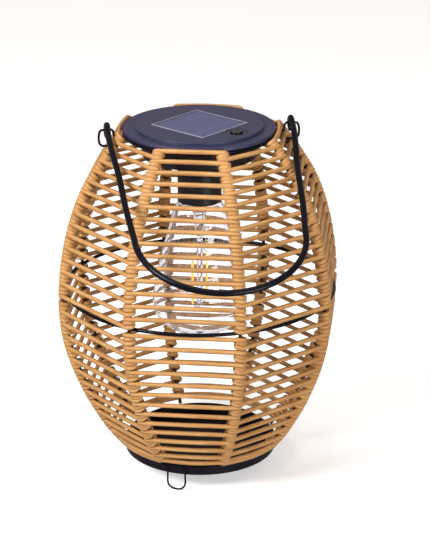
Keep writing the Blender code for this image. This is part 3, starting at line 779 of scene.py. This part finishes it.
# ------------------------------------------------------------------ bulb
outer = [(r, z) for z, r in BULB]
for step in range(1, 16):
    a = math.pi / 2 * step / 16
    outer.append((BULB_LOW_R * math.cos(a), BULB_LOW_Z - BULB_LOW_H * math.sin(a)))
upper = curve_through([Vector((r, z, 0)) for r, z in outer[1:]], 3)
outside = [(outer[0][0], outer[0][1], 0.3)] + [(p.x, p.y, 0) for p in upper]
outside.append((0, BULB_LOW_Z - BULB_LOW_H, 0))
inside = [(0, BULB_LOW_Z - BULB_LOW_H + GLASS_T, 0)]
inside += [(r - GLASS_T, z, 0) for r, z, _ in reversed(outside[:-1]) if r - GLASS_T > 0.5]
link_piece("bulb_envelope", lathe(outside + inside, 96, closed=True), BULB_GLASS, "lamp_unit", "bulb_glass")

stem = [(0, STEM_LOW, 0), (2.4, STEM_LOW, 1.6), (2.2, 150, 0), (2.4, 186, 4), (4.5, 198, 5), (6.5, 212, 5),
        (13.5, 226, 1), (13.5, 228, 0.5), (0, 228, 0)]
link_piece("bulb_stem", lathe(stem, 48), STEM_GLASS, "lamp_unit", "filament_stem")

low_z = FILAMENT_TOP - FILAMENT_LEN
for number, turn in ((1, 0), (2, 180)):
    azimuth = FILAMENT_AZ + turn
    path = [polar(FILAMENT_DIST, azimuth, low_z + FILAMENT_LEN * i / 20) for i in range(21)]
    path, widths = rounded_ends(path, FILAMENT_R)
    link_piece("filament_rod_%d" % number, build([sweep(path, FILAMENT_R, 12, widths=widths)]), GOLD,
               "lamp_unit", "filament_%d" % number)
    arm = curve_through([polar(3.25, azimuth, FILAMENT_TOP + 6), polar(6, azimuth, FILAMENT_TOP + 5),
                         polar(FILAMENT_DIST, azimuth, FILAMENT_TOP + 0.65)], 8)
    link_piece("filament_lead_%d" % number, build([sweep(arm, LEAD_R, 10)]), STEEL, "lamp_unit",
               "filament_arm_%d" % number)
bridge = curve_through([polar(FILAMENT_DIST, FILAMENT_AZ, low_z - 0.65),
                        polar(4, FILAMENT_AZ, STEM_LOW - 1.2), polar(4, FILAMENT_AZ + 180, STEM_LOW - 1.2),
                        polar(FILAMENT_DIST, FILAMENT_AZ + 180, low_z - 0.65)], 10)
link_piece("filament_link", build([sweep(bridge, LEAD_R, 10)]), STEEL, "lamp_unit", "filament_bridge")


# ------------------------------------------------------------------ CAD nodes that stay
KEPT = {"circuit_board": BOARD, "battery": WRAP, "battery_contact_1": STEEL, "battery_contact_2": STEEL,
        "switch_body": STEEL, "case_screw_1": STEEL, "case_screw_2": STEEL, "case_screw_3": STEEL}
# The ribs get the painted shade brown of the gaps between the strands.
for number in range(1, RIB_COUNT + 1):
    KEPT["rib_%d" % number] = RIB_PAINTED_SHADE
for name, look in KEPT.items():
    nodes[name].data.materials.clear()
    nodes[name].data.materials.append(look)


# ------------------------------------------------------------------ floor, light, camera
ROOM_LIGHT = 0.42                     # strength of the room in light and reflections


def floor():
    mesh = bpy.data.meshes.new("floor")
    side = 6.0
    z = FOOT_LOW * MM
    corners = [(-side, -side, z), (side, -side, z), (side, side, z), (-side, side, z)]
    mesh.from_pydata(corners, [], [(0, 1, 2, 3)])
    obj = bpy.data.objects.new("floor", mesh)
    bpy.context.scene.collection.objects.link(obj)
    s = Shader("floor_paper", Roughness=0.9, Specular_IOR_Level=0.1, Emission_Strength=0.45,
               Emission_Color=(1.0, 1.0, 1.0, 1))
    s.link(s.ramp(s.noise(s.place(), 3.0), (0.3, (0.93, 0.93, 0.935)), (0.7, (0.96, 0.96, 0.96))),
           s.bsdf.inputs["Base Color"])
    mesh.materials.append(s.material)
    obj.visible_glossy = False
    obj.visible_diffuse = False


def area_light(name, azimuth, elevation, distance, size, power):
    """A white disc light turned to the middle of the lantern; metres, degrees and watts."""
    data = bpy.data.lights.new(name, "AREA")
    data.shape = "DISK"
    data.size = size
    data.energy = power
    obj = bpy.data.objects.new(name, data)
    bpy.context.scene.collection.objects.link(obj)
    target = Vector((0, 0, 0.14))
    e = math.radians(elevation)
    obj.location = target + polar(distance * math.cos(e), azimuth, distance * math.sin(e))
    obj.rotation_euler = (target - obj.location).to_track_quat("-Z", "Y").to_euler()


def studio():
    """White for the camera and for what shows through glass, dimmer for light and reflections."""
    world = bpy.data.worlds.new("studio")
    world.use_nodes = True
    tree = world.node_tree
    room = tree.nodes["Background"]
    room.inputs["Color"].default_value = (1.0, 0.92, 0.86, 1)
    room.inputs["Strength"].default_value = ROOM_LIGHT
    backdrop = tree.nodes.new("ShaderNodeBackground")
    backdrop.inputs["Color"].default_value = (0.98, 0.98, 1.0, 1)
    path = tree.nodes.new("ShaderNodeLightPath")
    seen = tree.nodes.new("ShaderNodeMath")
    seen.operation = "MAXIMUM"
    choice = tree.nodes.new("ShaderNodeMixShader")
    tree.links.new(path.outputs["Is Camera Ray"], seen.inputs[0])
    tree.links.new(path.outputs["Is Transmission Ray"], seen.inputs[1])
    tree.links.new(seen.outputs["Value"], choice.inputs["Fac"])
    tree.links.new(room.outputs["Background"], choice.inputs[1])
    tree.links.new(backdrop.outputs["Background"], choice.inputs[2])
    tree.links.new(choice.outputs["Shader"], tree.nodes["World Output"].inputs["Surface"])
    bpy.context.scene.world = world


floor()
studio()
area_light("key", azimuth=-60, elevation=34, distance=1.6, size=0.6, power=23)
area_light("fill", azimuth=26, elevation=1, distance=1.9, size=1.2, power=28)
area_light("top", azimuth=-8, elevation=85, distance=1.5, size=0.8, power=4)
bpy.context.scene.view_settings.view_transform = "Standard"

VIEW_AZ, VIEW_EL, VIEW_DIST = math.radians(-8.0), math.radians(20.6), 1.8
LENS, SENSOR = 146.06, 36
AIM = Vector((0.01254, 0, 0.15846))       # point the lens axis passes, in the camera's own azimuth
turn = Matrix.Rotation(VIEW_AZ, 3, "Z")
camera_data = bpy.data.cameras.new("camera")
camera_data.sensor_width = SENSOR
camera_data.lens = LENS
camera_data.clip_end = 50
camera = bpy.data.objects.new("camera", camera_data)
bpy.context.scene.collection.objects.link(camera)
aim = turn @ AIM
camera.location = aim + turn @ Vector((0, -math.cos(VIEW_EL), math.sin(VIEW_EL))) * VIEW_DIST
camera.rotation_euler = (aim - camera.location).to_track_quat("-Z", "Y").to_euler()
bpy.context.scene.camera = camera

bpy.context.view_layer.update()
